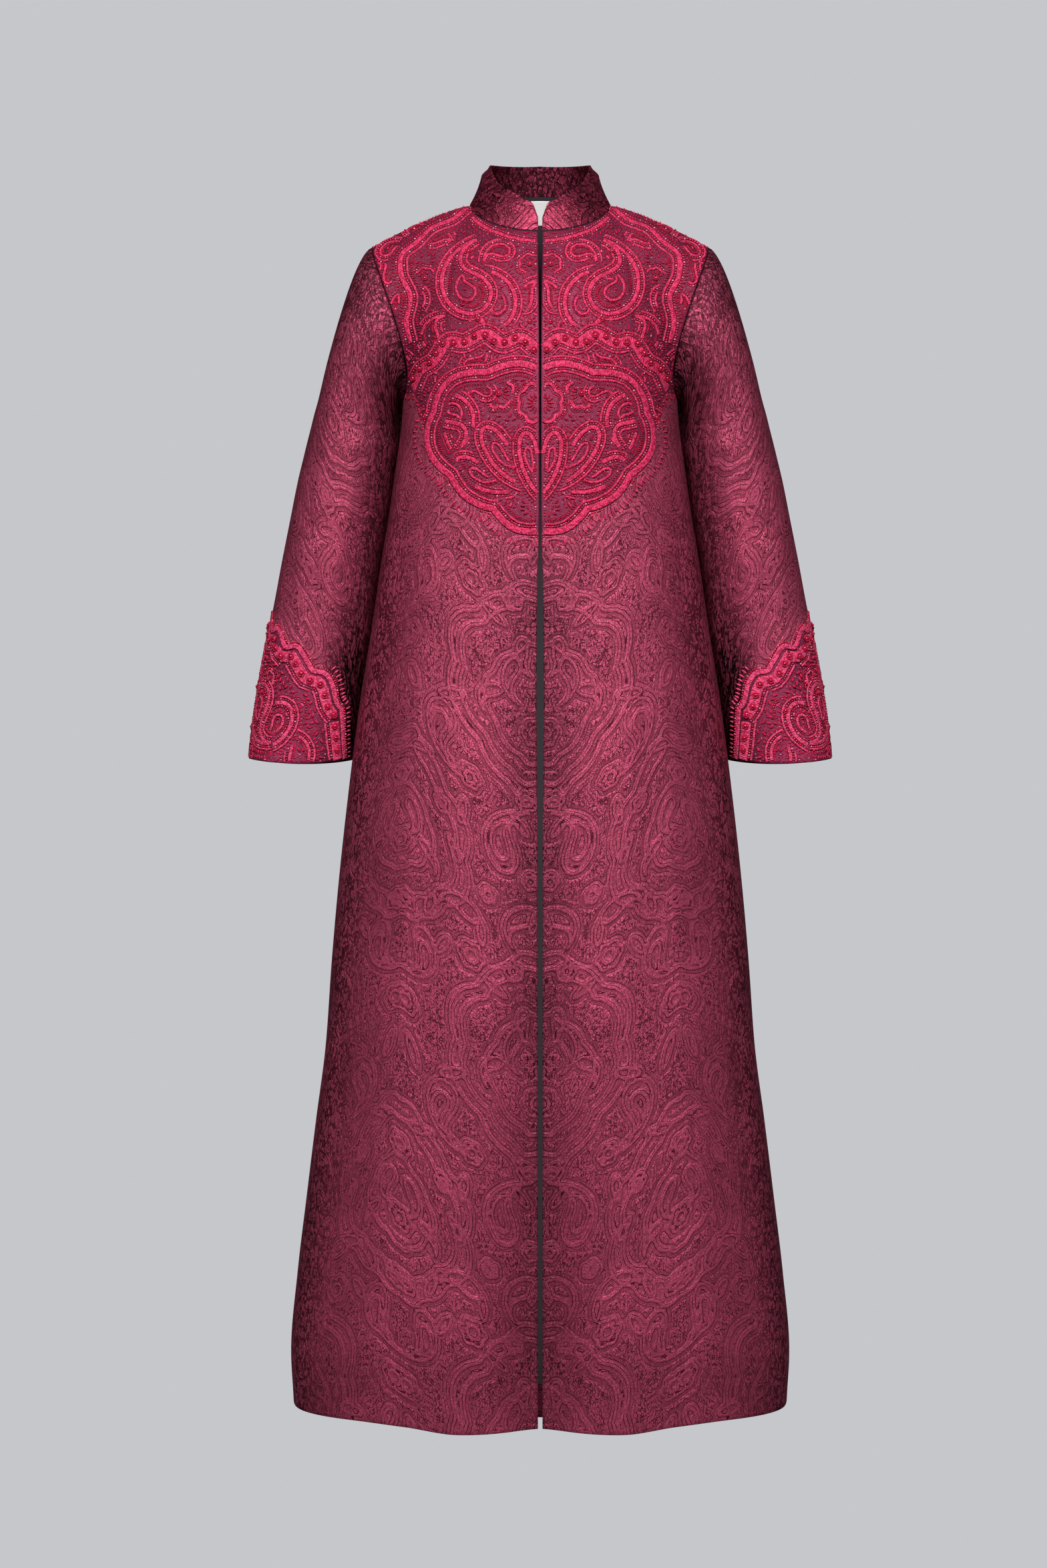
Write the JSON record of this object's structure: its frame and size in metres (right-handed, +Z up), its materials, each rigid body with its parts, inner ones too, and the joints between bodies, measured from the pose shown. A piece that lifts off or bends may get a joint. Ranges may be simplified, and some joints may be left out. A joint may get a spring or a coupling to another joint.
{
  "type": "abaya",
  "caption": "Floor-length open abaya in wine jacquard with a stand collar, long set-in sleeves, raised yoke and cuff embroidery and a lined back, shaped as worn with no wearer.",
  "frame": {"origin": "middle of the neckline at the height of the two shoulder neck points, where the wearer's shoulders carry the garment", "axes": "+Z up along the wearer's height, -Y towards the open front, +X towards the sleeve named left"},
  "size_m": [0.7044, 0.3324, 1.5349],
  "materials": {
    "wine_jacquard": "satin jacquard with raised lines",
    "collar_jacquard": "satin jacquard, interfaced",
    "charcoal_lining": "smooth satin lining",
    "white_label": "plain woven tape, bare"
  },
  "bodies": {
    "root": {"front_left": "wine_jacquard", "front_right": "wine_jacquard", "back": "wine_jacquard", "sleeve_left": "wine_jacquard", "sleeve_right": "wine_jacquard", "collar": "collar_jacquard", "back_lining": "charcoal_lining", "label": "white_label"}
  },
  "joints": []
}
